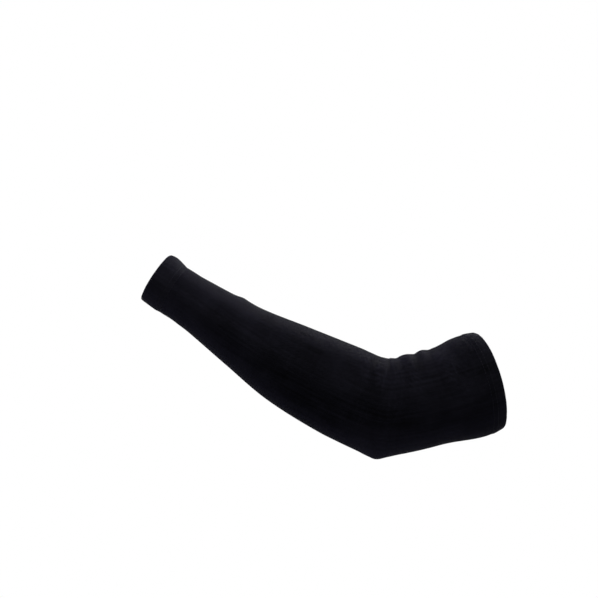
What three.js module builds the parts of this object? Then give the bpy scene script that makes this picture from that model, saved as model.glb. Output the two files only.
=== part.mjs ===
// Arm cover: a close-fitting sleeve of black stretch knit, in the bent form that it has when it is worn.
//
// A tube of knitted cloth tapers from the upper end, over the elbow, down to the wrist end. Each end is
// finished with a turned hem: a wide one at the wrist, whose edge lifts a little, and a narrower one at
// the upper end, which draws in to grip. The sleeve is hollow and open at both ends.
//
// Millimetres, +Z up. The origin is the middle of the elbow, inside the sleeve. The elbow bends in the
// XZ plane: the forearm part rises towards -X, and the upper part rises towards +X and leans to +Y.

import * as THREE from "three";
import { mergeVertices } from "three/addons/utils/BufferGeometryUtils.js";

// Driving dimensions
const KNIT_WALL = 1.2; // one layer of the knitted cloth
const HEM_WALL = 2.4; // a turned hem: two layers and the stitching between them
const HEM_PROUD = 0.9; // how far a hem stands out from the body beside it
const HEM_ROUNDING = 0.7; // the folded edge of a hem is rounded off by this much
const WRIST_HEM_WIDTH = 21;
const UPPER_ARM_HEM_WIDTH = 14;
const JOIN_GAP = 0.3; // between the body and each hem

// Facets of the solids
const FACETS_AROUND = 32;
const COARSE_STEP = 8.5; // between rings on the smooth stretches
const FINE_STEP = 4.2; // between rings where the elbow folds
const HEM_STEP = 5; // between rings of a hem
const FOLDED_STRETCH = { from: 205, to: 305 }; // measured along the sleeve from the wrist edge

// Looks
const KNIT_COLOUR = 0x0b0b10;
const HEM_COLOUR = 0x0c0c12;
const CLOTH_ROUGHNESS = 0.85;

// Sections through the sleeve, square to its run, from the wrist edge to the upper edge.
// x, y, z: the section's centre. pitch: how steeply the sleeve rises towards +X there, in degrees.
// height: outside, in the plane of the bend. depth: outside, across that plane.
// keel: how much the section narrows towards the outer side of the elbow, as a share of its depth.
const SECTIONS = [
  { name: "wrist edge", x: -202.4, y: 1.6, z: 115.1, pitch: -33, height: 44, depth: 56, keel: 0 },
  { name: "wrist hem end", x: -183.8, y: 0.8, z: 103.2, pitch: -31.5, height: 46.8, depth: 57.5, keel: 0 },
  { name: "narrow forearm", x: -170.4, y: 0, z: 94.9, pitch: -32, height: 46.8, depth: 59.5, keel: 0.02 },
  { name: "lower forearm", x: -123.2, y: 0, z: 62.9, pitch: -33, height: 59.8, depth: 70, keel: 0.06 },
  { name: "middle forearm", x: -84.2, y: 0, z: 38.9, pitch: -28.5, height: 74.8, depth: 79, keel: 0.08 },
  { name: "upper forearm", x: -35.6, y: 0, z: 14, pitch: -25, height: 84.6, depth: 84, keel: 0.14 },
  { name: "below elbow", x: -13.5, y: 0, z: 4.1, pitch: -16, height: 85.2, depth: 85, keel: 0.2 },
  { name: "elbow", x: 3, y: 0, z: -0.6, pitch: -6, height: 87.4, depth: 84, keel: 0.24 },
  { name: "above elbow", x: 15.5, y: 0.7, z: 0.6, pitch: 4, height: 86.2, depth: 83, keel: 0.2 },
  { name: "lower upper arm", x: 29.2, y: 2.5, z: 2.15, pitch: 13.5, height: 85.1, depth: 83, keel: 0.12 },
  { name: "middle upper arm", x: 49.6, y: 6.5, z: 6.7, pitch: 14.5, height: 84.8, depth: 84, keel: 0.08 },
  { name: "upper arm hem start", x: 82.4, y: 14.5, z: 16.3, pitch: 15.5, height: 94, depth: 90, keel: 0.12 },
  { name: "upper arm edge", x: 99.2, y: 18.2, z: 22, pitch: 16, height: 89.6, depth: 89, keel: 0.14 },
];

// Folds and bulges of the cloth, each a ridge or, with a negative rise, a dent.
// along: its middle, from the wrist edge along the sleeve. around: its middle, in degrees from the inner
// side of the elbow, positive to -Y. rise: outwards. width: across the fold, from its crest to its foot.
// reach: how far it runs round the sleeve, in degrees. drift: how far its ends lie along from its middle.
const FOLDS = [
  { name: "lifted wrist edge", along: 5, around: 0, rise: 2.8, width: 14.5, reach: 70, drift: 0 },
  { name: "tuck under the wrist", along: 38, around: 180, rise: 0.6, width: 12, reach: 65, drift: 4 },
  { name: "forearm crease", along: 80, around: -6, rise: 0.9, width: 14, reach: 80, drift: -14 },
  { name: "forearm side fold", along: 206, around: 38, rise: 1.2, width: 12, reach: 55, drift: 12 },
  { name: "ridge below the elbow", along: 222, around: 44, rise: 1.1, width: 11, reach: 48, drift: 12 },
  { name: "crease below the elbow", along: 234, around: 24, rise: -0.6, width: 7, reach: 60, drift: 6 },
  { name: "inner elbow crease", along: 252, around: 0, rise: -1.3, width: 12, reach: 85, drift: -2 },
  { name: "first ridge above", along: 269, around: 4, rise: 2.2, width: 11.5, reach: 80, drift: -10 },
  { name: "second ridge above", along: 284, around: -6, rise: 2.5, width: 9, reach: 70, drift: -12 },
  { name: "hollow below the upper hem", along: 303, around: 0, rise: -0.8, width: 13, reach: 75, drift: -4 },
  { name: "upper arm side fold", along: 296, around: 52, rise: 1.3, width: 13, reach: 50, drift: -14 },
  { name: "elbow cap", along: 233, around: 180, rise: 2, width: 32, reach: 80, drift: 0 },
  { name: "elbow point", along: 234, around: 180, rise: 1.5, width: 11, reach: 40, drift: 0 },
];

// The sections' columns as one smooth curve along the sleeve
const COLUMNS = ["x", "y", "z", "pitch", "height", "depth", "keel"];

function distancesAlong(rows) {
  const distances = [0];
  for (let i = 1; i < rows.length; i += 1) {
    const step = Math.hypot(
      rows[i].x - rows[i - 1].x,
      rows[i].y - rows[i - 1].y,
      rows[i].z - rows[i - 1].z,
    );
    distances.push(distances[i - 1] + step);
  }
  return distances;
}

const SECTION_PLACES = distancesAlong(SECTIONS);
const SLEEVE_LENGTH = SECTION_PLACES[SECTION_PLACES.length - 1];
const sectionCurve = new THREE.CubicInterpolant(
  SECTION_PLACES,
  SECTIONS.flatMap((row) => COLUMNS.map((column) => row[column])),
  COLUMNS.length,
);

function sectionAt(along) {
  const values = sectionCurve.evaluate(along);
  return Object.fromEntries(COLUMNS.map((column, i) => [column, values[i]]));
}

// A smooth bump: 1 in the middle, falling to 0 at a share of 1 and beyond.
function bump(share) {
  return Math.abs(share) < 1 ? (1 + Math.cos(Math.PI * share)) / 2 : 0;
}

// How far the folds lift the cloth at a place on the sleeve
function foldRise(along, degreesAround) {
  let total = 0;
  for (const fold of FOLDS) {
    const turned = THREE.MathUtils.euclideanModulo(degreesAround - fold.around + 180, 360) - 180;
    const sideways = turned / fold.reach;
    const crest = fold.along + fold.drift * Math.abs(sideways);
    total += fold.rise * bump((along - crest) / fold.width) * bump(sideways);
  }
  return total;
}

// The place of a point of the sleeve in its worn form. angle is measured round the sleeve from the inner
// side of the elbow, and inset from the body's outer face into the cloth.
const LEAN_SAMPLE = 2; // the stretch over which the lean towards +Y is measured

function wornPlace(along, angle, inset) {
  const { x, y, z, pitch, height, depth, keel } = sectionAt(along);
  const behind = Math.max(along - LEAN_SAMPLE, 0);
  const ahead = Math.min(along + LEAN_SAMPLE, SLEEVE_LENGTH);
  const lean = Math.atan2(sectionAt(ahead).y - sectionAt(behind).y, ahead - behind);
  const rise = THREE.MathUtils.degToRad(pitch);
  const axis = new THREE.Vector3(
    Math.cos(rise) * Math.cos(lean),
    Math.sin(lean),
    Math.sin(rise) * Math.cos(lean),
  );
  const up = new THREE.Vector3(-Math.sin(rise), 0, Math.cos(rise));
  const side = new THREE.Vector3().crossVectors(axis, up);
  const lift = foldRise(along, THREE.MathUtils.radToDeg(angle)) - inset;
  const narrowing = 1 - (keel * (1 - Math.cos(angle))) / 2;
  return new THREE.Vector3(x, y, z)
    .addScaledVector(up, (height / 2 + lift) * Math.cos(angle))
    .addScaledVector(side, ((depth / 2) * narrowing + lift) * Math.sin(angle));
}

// Rings of facets between two places along the sleeve, closer together where the elbow folds
function ringPlaces(from, to) {
  const places = [];
  let along = from;
  while (along < to - FINE_STEP / 2) {
    places.push(along);
    const folded = along >= FOLDED_STRETCH.from && along < FOLDED_STRETCH.to;
    along += folded ? FINE_STEP : COARSE_STEP;
  }
  places.push(to);
  return places;
}

// A straight round tube from its wall's profile, whose points hold (inset, along), bent to the worn form
const STRAIGHT_RADIUS = 50;

function wornTube(profile) {
  const closed = [...profile, profile[0]];
  const points = closed.map(([inset, along]) => new THREE.Vector2(STRAIGHT_RADIUS - inset, along));
  const straight = new THREE.LatheGeometry(points, FACETS_AROUND);
  straight.deleteAttribute("normal");
  straight.deleteAttribute("uv");
  const tube = mergeVertices(straight);
  const position = tube.getAttribute("position");
  for (let i = 0; i < position.count; i += 1) {
    const [across, along, towards] = [position.getX(i), position.getY(i), position.getZ(i)];
    const inset = STRAIGHT_RADIUS - Math.hypot(across, towards);
    const placed = wornPlace(along, Math.atan2(across, towards), inset);
    position.setXYZ(i, placed.x, placed.y, placed.z);
  }
  tube.computeVertexNormals();
  return tube;
}

function named(name, geometry, colour) {
  const material = new THREE.MeshStandardMaterial({ color: colour, roughness: CLOTH_ROUGHNESS });
  const mesh = new THREE.Mesh(geometry, material);
  mesh.name = name;
  return mesh;
}

// The knitted body: one layer of cloth between the two hems
function sleeveBody() {
  const from = WRIST_HEM_WIDTH + JOIN_GAP / 2;
  const to = SLEEVE_LENGTH - UPPER_ARM_HEM_WIDTH - JOIN_GAP / 2;
  const places = ringPlaces(from, to);
  const outer = places.map((along) => [0, along]);
  const inner = places.map((along) => [KNIT_WALL, along]).reverse();
  return named("sleeve_body", wornTube([...outer, ...inner]), KNIT_COLOUR);
}

// A turned hem: a thicker band whose folded edge is rounded. folded is the open edge's place along the
// sleeve and sewn the place where the band meets the body.
function turnedHem(name, folded, sewn) {
  const outside = -HEM_PROUD;
  const inside = HEM_WALL - HEM_PROUD;
  const inward = Math.sign(sewn - folded);
  const rounded = folded + inward * HEM_ROUNDING;
  const seam = sewn - (inward * JOIN_GAP) / 2;
  const steps = Math.round(Math.abs(seam - rounded) / HEM_STEP);
  const places = [];
  for (let i = 0; i <= steps; i += 1) {
    places.push(THREE.MathUtils.lerp(rounded, seam, i / steps));
  }
  const section = [
    [inside - HEM_ROUNDING, folded],
    [outside + HEM_ROUNDING, folded],
    ...places.map((along) => [outside, along]),
    ...places.map((along) => [inside, along]).reverse(),
  ];
  const profile = inward > 0 ? section : section.reverse();
  return named(name, wornTube(profile), HEM_COLOUR);
}

const armCover = new THREE.Group();
armCover.name = "arm_cover";
armCover.add(
  turnedHem("wrist_hem", 0, WRIST_HEM_WIDTH),
  sleeveBody(),
  turnedHem("upper_arm_hem", SLEEVE_LENGTH, SLEEVE_LENGTH - UPPER_ARM_HEM_WIDTH),
);

export default armCover;
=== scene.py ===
import math

import bmesh
import bpy
import numpy as np
from mathutils import Matrix, Vector
from mathutils.bvhtree import BVHTree


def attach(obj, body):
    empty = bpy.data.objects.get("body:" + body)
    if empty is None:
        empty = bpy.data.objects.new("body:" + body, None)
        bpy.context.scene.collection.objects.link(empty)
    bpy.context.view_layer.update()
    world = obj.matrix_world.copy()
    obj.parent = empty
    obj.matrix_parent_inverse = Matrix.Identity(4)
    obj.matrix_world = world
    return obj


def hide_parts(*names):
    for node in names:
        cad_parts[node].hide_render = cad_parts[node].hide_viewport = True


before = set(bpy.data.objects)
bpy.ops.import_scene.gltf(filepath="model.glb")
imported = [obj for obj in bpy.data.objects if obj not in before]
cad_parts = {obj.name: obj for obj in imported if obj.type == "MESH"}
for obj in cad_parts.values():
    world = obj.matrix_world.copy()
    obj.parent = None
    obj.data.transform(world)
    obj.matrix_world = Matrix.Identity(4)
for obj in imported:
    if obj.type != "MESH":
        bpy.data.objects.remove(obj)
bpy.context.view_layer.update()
scene = bpy.context.scene

# Camera
# It stands level in front of the elbow and looks straight along +Y.
VIEW_DISTANCE = 1.25
VIEW_WIDTH = 0.5382  # of the picture, at the elbow
VIEW_CENTRE_X = -0.0729
VIEW_CENTRE_Z = 0.0963


def put_in_scene(name, data):
    """A new object of the scene with this name and data."""
    made = bpy.data.objects.new(name, data)
    scene.collection.objects.link(made)
    return made


camera_data = bpy.data.cameras.new("camera")
camera_data.lens = camera_data.sensor_width * VIEW_DISTANCE / VIEW_WIDTH
camera = put_in_scene("camera", camera_data)
camera.location = (VIEW_CENTRE_X, -VIEW_DISTANCE, VIEW_CENTRE_Z)
camera.rotation_euler = (math.radians(90), 0, 0)
scene.camera = camera

# Knitted body
# One panel of black stretch knit, cut to a taper, rolled into a tube and sewn edge to edge down its
# far side. In its worn form it is bent at the elbow, drawn tight over the point of it, and creased on
# the inner side.
KNIT_THICKNESS = 0.0012
WRIST_HEM_WIDTH = 0.021
UPPER_HEM_WIDTH = 0.014
SEAM_WIDTH = 0.0064
SEAM_RISE = 0.0004  # the cloth is doubled there
SEAM_SLOPE = 0.0012
BODY_COLUMNS = 144
SEAM_CROWDING = 0.3  # the columns lie this much closer at the seam, and further apart opposite it

# Sections square to the sleeve, from the wrist edge to the upper edge, in metres. pitch is how steeply
# the sleeve rises towards +X, in degrees, and keel how much it narrows to its outer side.
SECTION_COLUMNS = ("x", "y", "z", "pitch", "height", "depth", "keel")
SECTIONS = {
    "wrist edge": (-0.2024, 0.0016, 0.1151, -33.0, 0.0440, 0.0560, 0.00),
    "wrist hem end": (-0.1838, 0.0008, 0.1032, -31.5, 0.0468, 0.0575, 0.00),
    "narrow forearm": (-0.1704, 0.0000, 0.0949, -32.0, 0.0468, 0.0595, 0.02),
    "lower forearm": (-0.1232, 0.0000, 0.0629, -33.0, 0.0598, 0.0700, 0.06),
    "middle forearm": (-0.0842, 0.0000, 0.0389, -28.5, 0.0748, 0.0790, 0.08),
    "upper forearm": (-0.0356, 0.0000, 0.0140, -25.0, 0.0846, 0.0840, 0.14),
    "below elbow": (-0.0135, 0.0000, 0.0041, -16.0, 0.0852, 0.0850, 0.20),
    "elbow": (0.0030, 0.0000, -0.0006, -6.0, 0.0874, 0.0840, 0.24),
    "above elbow": (0.0155, 0.0007, 0.0006, 4.0, 0.0862, 0.0830, 0.20),
    "lower upper arm": (0.0292, 0.0025, 0.00215, 13.5, 0.0851, 0.0830, 0.12),
    "middle upper arm": (0.0496, 0.0065, 0.0067, 14.5, 0.0848, 0.0840, 0.08),
    "upper hem start": (0.0824, 0.0145, 0.0163, 15.5, 0.0940, 0.0900, 0.12),
    "upper edge": (0.0992, 0.0182, 0.0220, 16.0, 0.0896, 0.0890, 0.14),
}
# Folds and bulges: where along and around the sleeve, how high, from crest to foot, how far round, and
# how far along the ends lie from the middle. Angles are degrees from the elbow's inner side, positive
# to -Y. The folds are the cloth's own, and the bulges are in the smooth form that it lies on too.
FOLD_COLUMNS = ("along", "around", "rise", "width", "reach", "drift")
FOLDS = {
    "lifted wrist edge": (0.0050, 0, 0.0028, 0.0145, 70, 0.000),
    "tuck under the wrist": (0.0380, 180, 0.0006, 0.012, 65, 0.004),
    "forearm crease": (0.0800, -6, 0.0009, 0.014, 80, -0.014),
    "crest of the forearm crease": (0.0772, -6, 0.0006, 0.005, 55, -0.010),
    "forearm side fold": (0.2060, 38, 0.0012, 0.012, 55, 0.012),
    "ridge below the elbow": (0.2220, 44, 0.0011, 0.011, 48, 0.012),
    "crease below the elbow": (0.2340, 24, -0.0006, 0.007, 60, 0.006),
    "inner elbow crease": (0.2520, 0, -0.0013, 0.012, 85, -0.002),
    "first ridge above": (0.2690, 4, 0.0022, 0.0115, 80, -0.010),
    "second ridge above": (0.2840, -6, 0.0025, 0.009, 70, -0.012),
    "hollow below the upper hem": (0.3030, 0, -0.0008, 0.013, 75, -0.004),
    "upper arm side fold": (0.2960, 52, 0.0013, 0.013, 50, -0.014),
}
BULGES = {
    "elbow cap": (0.2330, 180, 0.0020, 0.032, 80, 0.000),
    "elbow point": (0.2340, 180, 0.0015, 0.011, 40, 0.000),
    "elbow tip": (0.2353, 180, 0.0008, 0.005, 30, 0.000),
}

section_values = dict(zip(SECTION_COLUMNS, np.array(list(SECTIONS.values())).T))
section_centres = np.stack([section_values[axis] for axis in "xyz"], axis=1)
section_steps = np.linalg.norm(np.diff(section_centres, axis=0), axis=1)
section_places = np.concatenate([[0], np.cumsum(section_steps)])
SLEEVE_LENGTH = section_places[-1]


def along_sleeve(column, along):
    """A column of the sections as a smooth curve along the sleeve, and its slope there."""
    values = section_values[column]
    slopes = np.empty(len(values))
    slopes[1:-1] = (values[2:] - values[:-2]) / (section_places[2:] - section_places[:-2])
    slopes[0] = (3 * (values[1] - values[0]) / section_steps[0] - slopes[1]) / 2
    slopes[-1] = (3 * (values[-1] - values[-2]) / section_steps[-1] - slopes[-2]) / 2
    last = len(section_steps) - 1
    piece = np.clip(np.searchsorted(section_places, along, side="right") - 1, 0, last)
    step = section_steps[piece]
    share = (along - section_places[piece]) / step
    start, end = values[piece], values[piece + 1]
    leaving, arriving = slopes[piece] * step, slopes[piece + 1] * step
    square = 3 * (end - start) - 2 * leaving - arriving
    cube = 2 * (start - end) + leaving + arriving
    place = start + share * (leaving + share * (square + share * cube))
    slope = (leaving + share * (2 * square + share * 3 * cube)) / step
    return place, slope


def bump(share):
    """1 in the middle, falling smoothly to 0 at a share of 1 and beyond."""
    return (1 + np.cos(np.pi * np.clip(np.abs(share), 0, 1))) / 2


def rise_of(folds, along, around):
    """How far the folds of a table lift the cloth."""
    total = np.zeros_like(along)
    for row in folds.values():
        fold = dict(zip(FOLD_COLUMNS, row))
        turned = (np.degrees(around) - fold["around"] + 180) % 360 - 180
        sideways = turned / fold["reach"]
        crest = fold["along"] + fold["drift"] * np.abs(sideways)
        total += fold["rise"] * bump((along - crest) / fold["width"]) * bump(sideways)
    return total


def worn_form(along, around, inset=0.0, folds=1.0):
    """Places on the worn sleeve: along it, around it in radians, and inset from its outer face."""
    along, around, inset = np.broadcast_arrays(*map(np.asarray, (along, around, inset)))
    centre = np.stack([along_sleeve(axis, along)[0] for axis in "xyz"], axis=-1)
    pitch = np.radians(along_sleeve("pitch", along)[0])
    lean = np.arctan(along_sleeve("y", along)[1])
    height, depth, keel = (along_sleeve(column, along)[0] for column in ("height", "depth", "keel"))
    nothing = np.zeros_like(pitch)
    up = np.stack([-np.sin(pitch), nothing, np.cos(pitch)], axis=-1)
    level = np.cos(lean)
    run = np.stack([np.cos(pitch) * level, np.sin(lean), np.sin(pitch) * level], axis=-1)
    side = np.cross(run, up)
    lift = rise_of(BULGES, along, around) + folds * rise_of(FOLDS, along, around) - inset
    narrowing = 1 - keel * (1 - np.cos(around)) / 2
    upwards = (height / 2 + lift) * np.cos(around)
    sideways = (depth / 2 * narrowing + lift) * np.sin(around)
    return centre + up * upwards[..., None] + side * sideways[..., None]


def girth(along):
    """The worn sleeve's outside measure around, as that of an ellipse."""
    half_height = along_sleeve("height", along)[0] / 2
    half_depth = along_sleeve("depth", along)[0] / 2
    root = np.sqrt((3 * half_height + half_depth) * (half_height + 3 * half_depth))
    return np.pi * (3 * (half_height + half_depth) - root)


PANEL_MIDDLE = math.radians(90)  # the middle of the panel faces -Y, so the sewn edges meet at +Y


def seam_lift(along, turn):
    """How far the sewn edges lift the cloth, at a turn of -0.5 to 0.5 from the panel's middle."""
    from_seam = (0.5 - np.abs(turn)) * girth(along)
    return SEAM_RISE * bump(np.maximum(from_seam - SEAM_WIDTH / 2, 0) / SEAM_SLOPE)


def sewn_tube(name, along, inset, columns, facing=None, ripple=None, folds=1.0):
    """A flat panel with a row at each place along, rolled to the worn form and sewn edge to edge.

    facing is 1 for rows whose good side looks out of the sleeve, and -1 where it looks into it.
    """
    rows = len(along) - 1
    facing = np.ones(rows + 1) if facing is None else facing
    panel = bmesh.new()
    cloth_map = panel.loops.layers.uv.new("cloth")
    row_of = panel.verts.layers.int.new("row")
    turn_of = panel.verts.layers.float.new("turn")
    bmesh.ops.create_grid(panel, x_segments=columns, y_segments=rows, size=0.5)
    onward = np.sign(along[1] - along[0])
    steps = np.hypot(np.diff(along), np.diff(inset))
    length = along[0] + onward * np.concatenate([[0], np.cumsum(steps)])
    width = girth(along)
    for vert in panel.verts:
        vert[row_of] = round((vert.co.y + 0.5) * rows)
        across = vert.co.x
        vert[turn_of] = across + SEAM_CROWDING * math.sin(2 * math.pi * across) / (2 * math.pi)
    for face in panel.faces:
        face.smooth = True
        for loop in face.loops:
            row = loop.vert[row_of]
            loop[cloth_map].uv = (loop.vert[turn_of] * width[row], length[row])
    row = np.array([vert[row_of] for vert in panel.verts])
    turn = np.array([vert[turn_of] for vert in panel.verts])
    lift = folds * facing[row] * seam_lift(along[row], turn)
    if ripple is not None:
        lift = lift + ripple(row, turn)
    worn = worn_form(along[row], PANEL_MIDDLE + 2 * np.pi * turn, inset[row] - lift, folds)
    for vert, place in zip(panel.verts, worn):
        vert.co = place
    sewn_edges = [vert for vert in panel.verts if abs(vert[turn_of]) > 0.4999]
    bmesh.ops.remove_doubles(panel, verts=sewn_edges, dist=1e-6)
    if onward < 0:
        bmesh.ops.reverse_faces(panel, faces=panel.faces)
    mesh = bpy.data.meshes.new(name)
    panel.to_mesh(mesh)
    panel.free()
    return put_in_scene(name, mesh)


def places_of(mesh):
    """The mesh's vertices as an array."""
    places = np.empty(len(mesh.vertices) * 3, np.float32)
    mesh.vertices.foreach_get("co", places)
    return places.reshape(-1, 3)


def values_of(mesh, layer, kind):
    """A layer of the mesh's vertices as an array."""
    values = np.empty(len(mesh.vertices), kind)
    mesh.attributes[layer].data.foreach_get("value", values)
    return values


def rows_between(start, end, step):
    """Places along the sleeve, about a step apart."""
    return np.linspace(start, end, round((end - start) / step) + 1)


WRIST_LINE = WRIST_HEM_WIDTH  # where the hems are sewn down
UPPER_LINE = SLEEVE_LENGTH - UPPER_HEM_WIDTH
STITCH_DIP = 0.0002  # the stitches draw the cloth in by this much
STITCH_DIP_REACH = 0.0016
DIP_ROWS = np.array([0.0, 0.0005, 0.0010, 0.0016])  # from a sewn line
PLAIN_ROWS_FROM = 0.003
SMOOTH_STEP = 0.0024
CREASED_STEP = 0.0015
CREASED_START, CREASED_END = 0.205, 0.3055  # the rows lie closer between these

body_along = np.concatenate([
    WRIST_LINE + DIP_ROWS,
    rows_between(WRIST_LINE + PLAIN_ROWS_FROM, CREASED_START, SMOOTH_STEP),
    rows_between(CREASED_START, CREASED_END, CREASED_STEP)[1:-1],
    rows_between(CREASED_END, UPPER_LINE - PLAIN_ROWS_FROM, SMOOTH_STEP),
    UPPER_LINE - DIP_ROWS[::-1],
])
from_stitches = np.minimum(body_along - WRIST_LINE, UPPER_LINE - body_along)
body_inset = STITCH_DIP * bump(from_stitches / STITCH_DIP_REACH)
body = sewn_tube("sleeve", body_along, body_inset, BODY_COLUMNS)

# The tube that the cloth shrinks towards as it settles, as shares of its worn girth and length: it is
# tight around, and has length to spare for creases
KNITTED_GIRTH = 0.94
KNITTED_LENGTH = 1.15
HELD_ENDS = 0.006  # of the cloth, next to its sewn lines
SMOOTH_FORM_ROWS, SMOOTH_FORM_COLUMNS = 160, 128
SMOOTH_FORM_INSET = 0.0016  # from the cloth's outer face
SETTLING_FRAMES = 12
MOST_MOVED = 0.004  # by any point of the cloth
SETTLED_SHARE = 0.6  # of the way from the folds given above to where the cloth settles

body_row = values_of(body.data, "row", np.int32)
body_turn = values_of(body.data, "turn", np.float32)


def settle():
    """Lets the cloth shrink onto a smooth form and crease by itself: gives where it comes to lie."""
    settling = put_in_scene("settling", body.data.copy())
    settling.shape_key_add(name="worn")
    knitted = settling.shape_key_add(name="knitted")
    radius = KNITTED_GIRTH * girth(body_along[body_row]) / (2 * np.pi)
    angle = 2 * np.pi * body_turn
    straight = (radius * np.cos(angle), radius * np.sin(angle), KNITTED_LENGTH * body_along[body_row])
    knitted.data.foreach_set("co", np.stack(straight, axis=1).astype(np.float32).ravel())
    knitted.value = 0
    held = settling.vertex_groups.new(name="held")
    for vert, distance in enumerate(from_stitches[body_row]):
        if distance < HELD_ENDS:
            held.add([vert], 1 - distance / HELD_ENDS, "REPLACE")
    smooth_along = np.linspace(0.0, SLEEVE_LENGTH, SMOOTH_FORM_ROWS)
    smooth_inset = np.full(SMOOTH_FORM_ROWS, SMOOTH_FORM_INSET)
    smooth_form = sewn_tube("smooth form", smooth_along, smooth_inset, SMOOTH_FORM_COLUMNS, folds=0.0)
    smooth_form.modifiers.new("collision", "COLLISION")
    smooth_form.collision.thickness_outer = 0.001
    smooth_form.collision.thickness_inner = 0.01
    smooth_form.collision.cloth_friction = 5
    smooth_form.collision.use_culling = True
    cloth = settling.modifiers.new("cloth", "CLOTH")
    cloth.settings.quality = 6
    cloth.settings.time_scale = 2
    cloth.settings.mass = 0.3
    cloth.settings.rest_shape_key = knitted
    cloth.settings.vertex_group_mass = "held"
    cloth.settings.tension_stiffness = 20
    cloth.settings.compression_stiffness = 20
    cloth.settings.shear_stiffness = 4
    cloth.settings.bending_stiffness = 0.1
    cloth.settings.effector_weights.gravity = 0
    cloth.collision_settings.distance_min = 0.001
    cloth.collision_settings.collision_quality = 2
    cloth.collision_settings.use_self_collision = False
    cloth.point_cache.frame_start = 1
    cloth.point_cache.frame_end = SETTLING_FRAMES
    for frame_number in range(1, SETTLING_FRAMES + 1):
        scene.frame_set(frame_number)
    settled = settling.evaluated_get(bpy.context.evaluated_depsgraph_get())
    worn = places_of(body.data)
    moved = places_of(settled.data) - worn
    for helper in (settling, smooth_form):
        bpy.data.objects.remove(helper)
    scene.frame_set(1)
    far = np.linalg.norm(moved, axis=1, keepdims=True)
    return worn + SETTLED_SHARE * moved * np.minimum(1, MOST_MOVED / np.maximum(far, 1e-9))


body.data.vertices.foreach_set("co", settle().astype(np.float32).ravel())
body.data.update()

# Wear: the point of the elbow is rubbed, and so are the crests of the creases. The wrist end is painted
# paler as a painted sheen.
RUBBED_ALONG, RUBBED_LENGTH = 0.236, 0.050
# The wrist end is painted paler over this length, and by the third weight below, as a painted sheen
WRIST_SHEEN_LENGTH = 0.18
RUBBED_REACH = math.radians(95)
CREST_SHARPNESS = 60.0  # of a crease that is fully rubbed, as a curvature per metre
ELBOW_WEAR, CREST_WEAR, WRIST_SHEEN = 0.7, 0.6, 0.35


def add_wear_and_sheen(mesh, wear_and_sheen):
    """Keeps how rubbed each vertex is, with the painted sheen at the wrist end, from 0 to 1, for the
    materials.
    """
    layer = mesh.attributes.new("wear_and_sheen", "FLOAT", "POINT")
    layer.data.foreach_set("value", np.clip(wear_and_sheen, 0, 1).astype(np.float32))


def crests(mesh):
    """How sharply the cloth is bent outwards at each vertex."""
    places = places_of(mesh)
    normals = np.empty(len(places) * 3, np.float32)
    mesh.vertices.foreach_get("normal", normals)
    ends = np.empty(len(mesh.edges) * 2, np.int32)
    mesh.edges.foreach_get("vertices", ends)
    start, end = ends.reshape(-1, 2).T
    across = places[end] - places[start]
    square = (across ** 2).sum(axis=1)
    bent = np.zeros(len(places))
    count = np.zeros(len(places))
    for vert, towards in ((start, across), (end, -across)):
        fall = -(towards * normals.reshape(-1, 3)[vert]).sum(axis=1) * 2 / square
        np.add.at(bent, vert, fall)
        np.add.at(count, vert, 1)
    return bent / count


body_around = PANEL_MIDDLE + 2 * np.pi * body_turn
rubbed = bump((body_along[body_row] - RUBBED_ALONG) / RUBBED_LENGTH)
rubbed = rubbed * bump((body_around - math.pi) / RUBBED_REACH)
ordinary_bend = math.pi / girth(body_along[body_row])
creased = np.clip((crests(body.data) - ordinary_bend) / CREST_SHARPNESS, 0, 1)
creased = creased * (from_stitches[body_row] > HELD_ENDS)
# The wrist end is painted paler here: a painted sheen
painted_wrist_sheen = bump(body_along[body_row] / WRIST_SHEEN_LENGTH)
add_wear_and_sheen(body.data, ELBOW_WEAR * rubbed + CREST_WEAR * creased + WRIST_SHEEN * painted_wrist_sheen)


def give_thickness(piece, thickness):
    """Makes a piece one layer of knit, with its second material on the inside and the edges."""
    layer = piece.modifiers.new("one layer of knit", "SOLIDIFY")
    layer.thickness = thickness
    layer.offset = -1
    layer.use_even_offset = False
    layer.material_offset = 1
    layer.material_offset_rim = 1


give_thickness(body, KNIT_THICKNESS)


def add_node(tree, kind, inputs=None, **settings):
    """A node with its settings, and numbers or links on its inputs."""
    made = tree.nodes.new(kind)
    for name, value in settings.items():
        setattr(made, name, value)
    for socket, value in (inputs or {}).items():
        if isinstance(value, bpy.types.NodeSocket):
            tree.links.new(value, made.inputs[socket])
        else:
            made.inputs[socket].default_value = value
    return made


def maths(tree, operation, *values):
    """A Math node's output, from numbers or other nodes' outputs."""
    return add_node(tree, "ShaderNodeMath", dict(enumerate(values)), operation=operation).outputs[0]


def new_group(name, inputs, outputs):
    """A shader node group with its sockets: gives the tree and the group's inputs."""
    tree = bpy.data.node_groups.new(name, "ShaderNodeTree")
    for socket, kind in inputs.items():
        tree.interface.new_socket(name=socket, in_out="INPUT", socket_type="NodeSocket" + kind)
    for socket, kind in outputs.items():
        tree.interface.new_socket(name=socket, in_out="OUTPUT", socket_type="NodeSocket" + kind)
    return tree, tree.nodes.new("NodeGroupInput").outputs


def loop_places(tree, given):
    """Where a point lies in the knit: its share of a wale across, and how many courses along."""
    places = add_node(tree, "ShaderNodeSeparateXYZ", {"Vector": given["Map"]}).outputs
    across = maths(tree, "DIVIDE", places["X"], given["Wale"])
    along = maths(tree, "DIVIDE", places["Y"], given["Course"])
    return maths(tree, "FRACT", across), along


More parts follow.
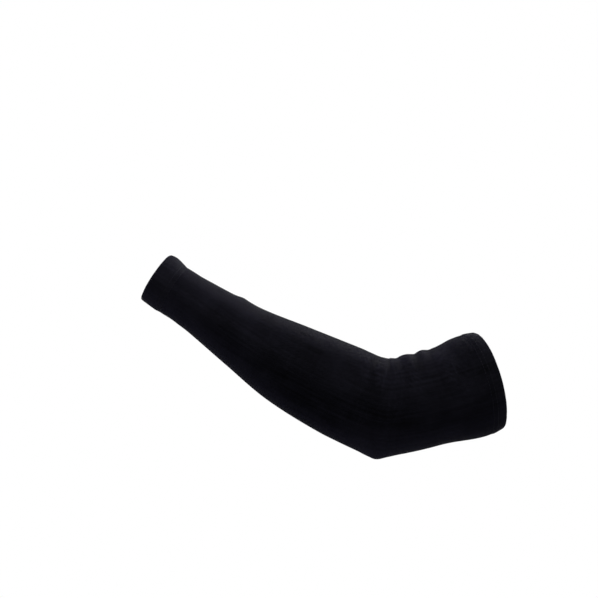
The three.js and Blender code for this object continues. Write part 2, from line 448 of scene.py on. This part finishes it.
# Good side of the knit: each loop shows two slanting legs, so a wale is a column of small Vs
good_side, given = new_group(
    "good side of the knit",
    {"Map": "Vector", "Wale": "Float", "Course": "Float"},
    {"Height": "Float"},
)
share, courses = loop_places(good_side, given)
from_middle = maths(good_side, "ABSOLUTE", maths(good_side, "SUBTRACT", share, 0.5))
off_leg = maths(good_side, "MULTIPLY", maths(good_side, "SUBTRACT", from_middle, 0.25), 4.0)
leg = maths(good_side, "SUBTRACT", 1.0, maths(good_side, "MULTIPLY", off_leg, off_leg))
slanted = maths(good_side, "FRACT", maths(good_side, "MULTIPLY_ADD", from_middle, 1.5, courses))
swell = maths(good_side, "SINE", maths(good_side, "MULTIPLY", slanted, math.pi))
height = maths(good_side, "MULTIPLY", leg, maths(good_side, "MULTIPLY_ADD", swell, 0.6, 0.4))
add_node(good_side, "NodeGroupOutput", {"Height": height})

# Reverse of the knit: the heads of the loops make rows of small waves across the wales
reverse_side, given = new_group(
    "reverse of the knit",
    {"Map": "Vector", "Wale": "Float", "Course": "Float"},
    {"Height": "Float"},
)
share, courses = loop_places(reverse_side, given)
wave = maths(reverse_side, "COSINE", maths(reverse_side, "MULTIPLY", share, 2 * math.pi))
waved = maths(reverse_side, "MULTIPLY_ADD", wave, 0.22, courses)
row_height = maths(reverse_side, "SINE", maths(reverse_side, "MULTIPLY", waved, 2 * math.pi))
height = maths(reverse_side, "MULTIPLY_ADD", row_height, 0.5, 0.5)
add_node(reverse_side, "NodeGroupOutput", {"Height": height})

# Unevenness of a dyed knit: soft clouds, streaks down the wales and faint bars along the courses
uneven, given = new_group(
    "unevenness of the knit",
    {"Map": "Vector", "Place": "Vector"},
    {"Clouds": "Float", "Streaks": "Float"},
)
clouds = add_node(uneven, "ShaderNodeTexNoise", {
    "Vector": given["Place"], "Scale": 38.0, "Detail": 3.0, "Roughness": 0.55,
}).outputs["Fac"]
down_wales = add_node(uneven, "ShaderNodeVectorMath", {
    0: given["Map"], 1: (420.0, 16.0, 0.0),
}, operation="MULTIPLY").outputs["Vector"]
streaks = add_node(uneven, "ShaderNodeTexNoise", {
    "Vector": down_wales, "Scale": 1.0, "Detail": 2.0, "Roughness": 0.5,
}).outputs["Fac"]
along_courses = add_node(uneven, "ShaderNodeVectorMath", {
    0: given["Map"], 1: (14.0, 300.0, 0.0),
}, operation="MULTIPLY").outputs["Vector"]
bars = add_node(uneven, "ShaderNodeTexNoise", {
    "Vector": along_courses, "Scale": 1.0, "Detail": 2.0, "Roughness": 0.5,
}).outputs["Fac"]
faint_bars = maths(uneven, "MULTIPLY", bars, 0.22)
both = maths(uneven, "MULTIPLY_ADD", streaks, 0.78, faint_bars)
add_node(uneven, "NodeGroupOutput", {"Clouds": clouds, "Streaks": both})

WALE, COURSE = 0.00085, 0.00062
LOOP_RELIEF = 0.00016
UNEVEN_RELIEF = 0.00030
TONE_CONTRAST = 1.6
WEAR_AND_SHEEN_PALENESS = 0.6
ROUGHNESS_SPREAD = 0.24
SHEEN_TINT = (0.14, 0.13, 0.36, 1)


def new_finish(name, constants):
    """A new material with constants on its shader: gives it, its tree and the shader's inputs."""
    made = bpy.data.materials.new(name)
    made.use_nodes = True
    inputs = made.node_tree.nodes["Principled BSDF"].inputs
    for socket, value in constants.items():
        inputs[socket].default_value = value
    return made, made.node_tree, inputs


def knit_material(name, side, dyed, rubbed, rough):
    """The knit's finish: dyed yarn, paler where rubbed and under the painted wrist sheen, rough, with a
    faint cool sheen.
    """
    made, tree, shader = new_finish(name, {
        "Specular IOR Level": 0.004, "Sheen Weight": 0.04, "Sheen Roughness": 0.35,
        "Sheen Tint": SHEEN_TINT,
    })
    cloth_map = add_node(tree, "ShaderNodeUVMap", uv_map="cloth").outputs["UV"]
    place = add_node(tree, "ShaderNodeTexCoord").outputs["Object"]
    loops = add_node(tree, "ShaderNodeGroup", {
        "Map": cloth_map, "Wale": WALE, "Course": COURSE,
    }, node_tree=side).outputs["Height"]
    unevenness = add_node(tree, "ShaderNodeGroup", {
        "Map": cloth_map, "Place": place,
    }, node_tree=uneven).outputs
    clouds, streaks = unevenness["Clouds"], unevenness["Streaks"]
    wear_and_sheen = add_node(tree, "ShaderNodeAttribute", attribute_name="wear_and_sheen").outputs["Fac"]
    tone = maths(tree, "MULTIPLY_ADD", clouds, 0.5, maths(tree, "MULTIPLY", streaks, 0.5))
    uneven_tone = maths(tree, "MULTIPLY_ADD", tone, TONE_CONTRAST, 1 - TONE_CONTRAST)
    # Paler with wear, and with the painted sheen at the wrist end
    pale = maths(tree, "MULTIPLY_ADD", wear_and_sheen, WEAR_AND_SHEEN_PALENESS, uneven_tone)
    colour = add_node(tree, "ShaderNodeValToRGB", {"Fac": pale})
    colour.color_ramp.elements[0].color = (*dyed, 1)
    colour.color_ramp.elements[1].color = (*rubbed, 1)
    tree.links.new(colour.outputs["Color"], shader["Base Color"])
    roughness = maths(tree, "MULTIPLY_ADD", tone, ROUGHNESS_SPREAD, rough - ROUGHNESS_SPREAD / 2)
    tree.links.new(roughness, shader["Roughness"])
    soft = add_node(tree, "ShaderNodeBump", {
        "Strength": 1.0, "Distance": UNEVEN_RELIEF, "Height": streaks,
    })
    fine = add_node(tree, "ShaderNodeBump", {
        "Strength": 1.0, "Distance": LOOP_RELIEF, "Height": loops, "Normal": soft.outputs["Normal"],
    })
    tree.links.new(fine.outputs["Normal"], shader["Normal"])
    return made


knit = knit_material("knit", good_side, (0.0011, 0.0011, 0.0015), (0.0060, 0.0058, 0.0090), 0.56)
knit_reverse = knit_material(
    "knit reverse", reverse_side, (0.0014, 0.0014, 0.0019), (0.0060, 0.0060, 0.0078), 0.72,
)
body.data.materials.append(knit)
body.data.materials.append(knit_reverse)

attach(body, "root")
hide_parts("sleeve_body")

# Turned hems
# At each end the knit is turned under and sewn down, so a hem is two layers of the same cloth with a
# soft rounded fold at the open edge. It ripples a little between its stitches and its fold.
HEM_LAYER = 0.0009
HEM_PROUD = 0.0009  # the outer layer stands this far out from the body
HEM_INSIDE = 0.0015  # and the inner layer lies this far in
FOLD_RADIUS = (HEM_PROUD + HEM_INSIDE) / 2
FIRST_ROW = 0.0005  # from the sewn line to the first row of stitches
STITCH_GAUGE = 0.0042  # between the two rows
RAW_EDGE = 0.0009  # the turned edge ends this far past the sewn line
RAW_EDGE_INSIDE = 0.0025
HEM_PUFF_LENGTH = 0.006  # in which a layer rises from its sewn line
HEM_ROW = 0.0012
HEM_ROWS_FROM = 0.0024
FOLD_STEPS = 8
WRIST_HEM_COLUMNS, UPPER_HEM_COLUMNS = 256, 320
EDGE_WEAR = 0.9
EDGE_WEAR_REACH = 0.0026
RIPPLES_FROM = 0.003
# Waves round the hem: how many, how high and where they start
RIPPLES = ((6, 0.00016, 0.4), (11, 0.00010, 2.1), (29, 0.00007, 1.1), (41, 0.00005, 3.0))


def turned_hem(name, sewn_line, open_edge, columns):
    """A hem whose cloth runs from the sewn line to the open edge, round the fold and back inside."""
    onward = np.sign(open_edge - sewn_line)
    width = abs(open_edge - sewn_line)
    outer = np.concatenate([DIP_ROWS, rows_between(HEM_ROWS_FROM, width - FOLD_RADIUS, HEM_ROW)])
    puffed = (1 - bump(outer / HEM_PUFF_LENGTH)) * HEM_PROUD
    dips = STITCH_DIP * bump(outer / STITCH_DIP_REACH)
    dips = dips + STITCH_DIP * bump((outer - FIRST_ROW - STITCH_GAUGE) / STITCH_DIP_REACH)
    turn = np.linspace(-math.pi / 2, math.pi / 2, FOLD_STEPS + 1)[1:]
    fold = width - FOLD_RADIUS + FOLD_RADIUS * np.cos(turn)
    fold_inset = (HEM_INSIDE - HEM_PROUD) / 2 + FOLD_RADIUS * np.sin(turn)
    inner = rows_between(-RAW_EDGE, width - FOLD_RADIUS, HEM_ROW)[::-1][1:]
    settled = bump((inner + RAW_EDGE) / HEM_PUFF_LENGTH) * (RAW_EDGE_INSIDE - HEM_INSIDE)
    from_line = np.concatenate([outer, fold, inner])
    inset = np.concatenate([dips - puffed, fold_inset, HEM_INSIDE + settled])
    facing = np.concatenate([np.ones(len(outer)), np.cos(turn + math.pi / 2), -np.ones(len(inner))])
    swell = np.clip(from_line / width, 0, 1) * (1 - bump(from_line / RIPPLES_FROM))

    def ripple(row, turn):
        waves = sum(high * np.sin(2 * np.pi * count * turn + start) for count, high, start in RIPPLES)
        return waves * swell[row]

    hem = sewn_tube(name, sewn_line + onward * from_line, inset, columns, facing, ripple)
    row = values_of(hem.data, "row", np.int32)
    from_fold = np.hypot(from_line - width, inset - (HEM_INSIDE - HEM_PROUD) / 2)
    # The wrist end of the hem is painted paler too: a painted sheen
    painted_wrist_sheen = bump((sewn_line + onward * from_line) / WRIST_SHEEN_LENGTH)
    add_wear_and_sheen(hem.data, (EDGE_WEAR * bump(from_fold / EDGE_WEAR_REACH) + WRIST_SHEEN * painted_wrist_sheen)[row])
    give_thickness(hem, HEM_LAYER)
    hem.data.materials.append(hem_knit)
    hem.data.materials.append(knit_reverse)
    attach(hem, "root")
    return hem


hem_knit = knit_material("hem knit", good_side, (0.0012, 0.0012, 0.0016), (0.0066, 0.0064, 0.0098), 0.54)
wrist_hem = turned_hem("wrist_hem_cloth", WRIST_LINE, 0.0, WRIST_HEM_COLUMNS)
upper_hem = turned_hem("upper_hem_cloth", UPPER_LINE, SLEEVE_LENGTH, UPPER_HEM_COLUMNS)
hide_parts("wrist_hem")
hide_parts("upper_arm_hem")

# Stitches
# Black sewing thread. Two rows hold each hem down, and on the inside a looper thread zigzags between
# them. The long seam lies flat, with a row of stitches along each side and threads across it.
STITCH_PITCH = 0.0028
STITCH_LENGTH = 0.0022
THREAD = 0.00046
THREAD_PROUD = 0.22  # of its width, from the cloth to the thread's middle
THREAD_FLATNESS = 0.84  # its height as a share of its width
OUTSIDE_CLOTH, INSIDE_CLOTH = -0.004, 0.006  # insets that are clear of all the cloth
SEAM_PITCH = 0.0026
SEAM_GAP = 0.1  # of the pitch, at each end of a stitch
SEAM_STITCHES_FROM = 0.0016  # the open edges
SEAM_ROWS = SEAM_WIDTH - 0.0012  # between the two rows along the seam

depsgraph = bpy.context.evaluated_depsgraph_get()
cloth_faces = [BVHTree.FromObject(piece, depsgraph) for piece in (body, wrist_hem, upper_hem)]


def on_cloth(along, around, inside):
    """The first cloth met from outside or inside at a place on the worn form, and the way out of it."""
    outer, inner = (Vector(worn_form(along, around, inset)) for inset in (OUTSIDE_CLOTH, INSIDE_CLOTH))
    start, end = (inner, outer) if inside else (outer, inner)
    way = (end - start).normalized()
    met = [faces.ray_cast(start, way) for faces in cloth_faces]
    place = min((hit for hit in met if hit[0]), key=lambda hit: hit[3])[0]
    return place, -way


# One stitch is a short thread that swells in its middle
stitch_shape = bmesh.new()
stitch_shape.loops.layers.uv.new("thread")
bmesh.ops.create_uvsphere(stitch_shape, u_segments=6, v_segments=6, radius=1, calc_uvs=True)
stitch_mesh = bpy.data.meshes.new("one stitch")
stitch_shape.to_mesh(stitch_mesh)
stitch_shape.free()


def thread_between(start, end, inside=False):
    """How the one stitch is turned and drawn out to lie between two places on the sleeve."""
    first, first_out = on_cloth(*start, inside)
    last, last_out = on_cloth(*end, inside)
    run = (last - first).normalized()
    across = (first_out + last_out).cross(run).normalized()
    out = run.cross(across)
    middle = (first + last) / 2 + out * THREAD * THREAD_PROUD
    turned = Matrix((across, out, run)).transposed().to_4x4()
    size = Matrix.Diagonal((THREAD / 2, THREAD * THREAD_FLATNESS / 2, (last - first).length / 2, 1))
    return Matrix.Translation(middle) @ turned @ size


def sewn_threads(name, threads):
    """A copy of the one stitch for each thread, joined in one mesh, as a piece of the sleeve."""
    joined = bmesh.new()
    for laid in threads:
        stitch = stitch_mesh.copy()
        stitch.transform(laid)
        joined.from_mesh(stitch)
        bpy.data.meshes.remove(stitch)
    mesh = bpy.data.meshes.new(name)
    joined.to_mesh(mesh)
    joined.free()
    mesh.shade_smooth()
    mesh.materials.append(black_thread)
    piece = put_in_scene(name, mesh)
    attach(piece, "root")
    return piece


def hem_stitches(name, sewn_line, onward):
    """Two rows of stitches outside and the zigzag of the looper inside."""
    rows = (sewn_line + onward * FIRST_ROW, sewn_line + onward * (FIRST_ROW + STITCH_GAUGE))
    around_line = float(girth(sewn_line))
    count = round(around_line / STITCH_PITCH)
    pitch = 2 * math.pi / count
    half = math.pi * STITCH_LENGTH / around_line
    threads = []
    for number in range(count):
        middle = PANEL_MIDDLE + math.pi + (number + 0.5) * pitch
        for along in rows:
            threads.append(thread_between((along, middle - half), (along, middle + half)))
        peak = (rows[1], middle)
        for side in (-1, 1):
            threads.append(thread_between((rows[0], middle + side * pitch / 2), peak, inside=True))
    return sewn_threads(name, threads)


# Thread: two plies twisted together, painted darker in the grooves between them as painted shade
black_thread, tree, shader = new_finish("black thread", {
    "Specular IOR Level": 0.03, "Sheen Weight": 0.03, "Sheen Tint": SHEEN_TINT,
})
thread_map = add_node(tree, "ShaderNodeUVMap", uv_map="thread").outputs["UV"]
thread_place = add_node(tree, "ShaderNodeSeparateXYZ", {"Vector": thread_map}).outputs
around_thread = maths(tree, "MULTIPLY", thread_place["X"], 2.0)
twist = maths(tree, "MULTIPLY_ADD", thread_place["Y"], 5.0, around_thread)
plies = maths(tree, "SINE", maths(tree, "MULTIPLY", twist, 2 * math.pi))
ply_height = maths(tree, "MULTIPLY_ADD", plies, 0.5, 0.5)
# Darker where the plies dip into the grooves between them: painted shade
thread_tone_with_groove_shade = add_node(tree, "ShaderNodeValToRGB", {"Fac": ply_height})
thread_tone_with_groove_shade.color_ramp.elements[0].color = (0.0018, 0.0018, 0.0026, 1)
thread_tone_with_groove_shade.color_ramp.elements[1].color = (0.0080, 0.0078, 0.0104, 1)
tree.links.new(thread_tone_with_groove_shade.outputs["Color"], shader["Base Color"])
tree.links.new(maths(tree, "MULTIPLY_ADD", ply_height, -0.14, 0.62), shader["Roughness"])
ply_bump = add_node(tree, "ShaderNodeBump", {"Distance": 0.00008, "Height": ply_height})
tree.links.new(ply_bump.outputs["Normal"], shader["Normal"])

wrist_stitches = hem_stitches("wrist_hem_stitches", WRIST_LINE, -1)
upper_stitches = hem_stitches("upper_hem_stitches", UPPER_LINE, 1)

seam_threads = []
seam_places = rows_between(SEAM_STITCHES_FROM, SLEEVE_LENGTH - SEAM_STITCHES_FROM, SEAM_PITCH)
for start, end in zip(seam_places[:-1], seam_places[1:]):
    half_turn = math.pi * SEAM_ROWS / float(girth(start))
    left, right = (PANEL_MIDDLE + math.pi + side * half_turn for side in (-1, 1))
    middle = (start + end) / 2
    gap = (end - start) * SEAM_GAP
    for edge in (left, right):
        seam_threads.append(thread_between((start + gap, edge), (end - gap, edge)))
    seam_threads.append(thread_between((start, left), (middle, right)))
    seam_threads.append(thread_between((middle, right), (end, left)))
seam_stitches = sewn_threads("seam_stitches", seam_threads)

# The cut of the cloth: the panel before it is stretched, about 85 % of the worn girth
CUT_SHARE = 0.85
cut_width = CUT_SHARE * float(girth(body_along).max())
cut_area = CUT_SHARE * float(np.trapz(girth(body_along), body_along))

# Stage
# A round pale floor below the sleeve, clear from below and faded out at its rim, soft white light all
# round that is strongest near the horizon, and three large soft lamps above.
FLOOR_HEIGHT = -0.30
FLOOR_RADIUS = 0.58
FLOOR_FADES_FROM = 0.30
BRIGHT_TO, DIM_FROM = 0.26, 0.70  # of the light all round, as heights of its direction
DIM_ABOVE, DIM_BELOW = 0.4, 0.8

scene.view_settings.view_transform = "Standard"
world = bpy.data.worlds.new("studio")
scene.world = world
world.use_nodes = True
sky = world.node_tree
direction = add_node(sky, "ShaderNodeTexCoord").outputs["Generated"]
upwards = add_node(sky, "ShaderNodeSeparateXYZ", {0: direction}).outputs["Z"]
below = maths(sky, "LESS_THAN", upwards, 0.0)
strength = add_node(sky, "ShaderNodeMapRange", {
    "Value": maths(sky, "ABSOLUTE", upwards), "From Min": BRIGHT_TO, "From Max": DIM_FROM,
    "To Min": 1.0, "To Max": maths(sky, "MULTIPLY_ADD", below, DIM_BELOW - DIM_ABOVE, DIM_ABOVE),
}, interpolation_type="SMOOTHSTEP").outputs["Result"]
sky.nodes["Background"].inputs["Color"].default_value = (1, 1, 1, 1)
sky.links.new(strength, sky.nodes["Background"].inputs["Strength"])

floor_shape = bmesh.new()
bmesh.ops.create_circle(floor_shape, cap_ends=True, segments=128, radius=FLOOR_RADIUS)
bmesh.ops.translate(floor_shape, verts=floor_shape.verts, vec=(0, 0, FLOOR_HEIGHT))
floor_mesh = bpy.data.meshes.new("floor")
floor_shape.to_mesh(floor_mesh)
floor_shape.free()
floor = put_in_scene("floor", floor_mesh)
paint, tree, shader = new_finish("pale floor", {"Base Color": (0.37, 0.37, 0.37, 1), "Roughness": 0.9})
floor_place = add_node(tree, "ShaderNodeTexCoord").outputs["Object"]
flat_place = add_node(tree, "ShaderNodeVectorMath", {
    0: floor_place, 1: (1, 1, 0),
}, operation="MULTIPLY").outputs["Vector"]
from_centre = add_node(tree, "ShaderNodeVectorMath", {0: flat_place}, operation="LENGTH").outputs["Value"]
fade = add_node(tree, "ShaderNodeMapRange", {
    "Value": from_centre, "From Min": FLOOR_FADES_FROM, "From Max": FLOOR_RADIUS,
    "To Min": 1.0, "To Max": 0.0,
}, interpolation_type="SMOOTHSTEP").outputs["Result"]
from_below = add_node(tree, "ShaderNodeNewGeometry").outputs["Backfacing"]
shown = maths(tree, "MULTIPLY", fade, maths(tree, "SUBTRACT", 1.0, from_below))
tree.links.new(shown, shader["Alpha"])
floor_mesh.materials.append(paint)

LAMPS = {
    "key from above right": ((0.7, -0.3, 1.3), 0.7, 42),
    "rim from behind": ((0.5, 1.0, 1.0), 0.9, 24),
    "fill from the left": ((-1.2, -1.0, 0.9), 0.9, 12),
}
LIT_PLACE = Vector((-0.12, 0.0, 0.07))
for name, (place, size, power) in LAMPS.items():
    light = bpy.data.lights.new(name, "AREA")
    light.size = size
    light.energy = power
    lamp = put_in_scene(name, light)
    lamp.location = place
    lamp.rotation_euler = (LIT_PLACE - Vector(place)).to_track_quat("-Z", "Y").to_euler()
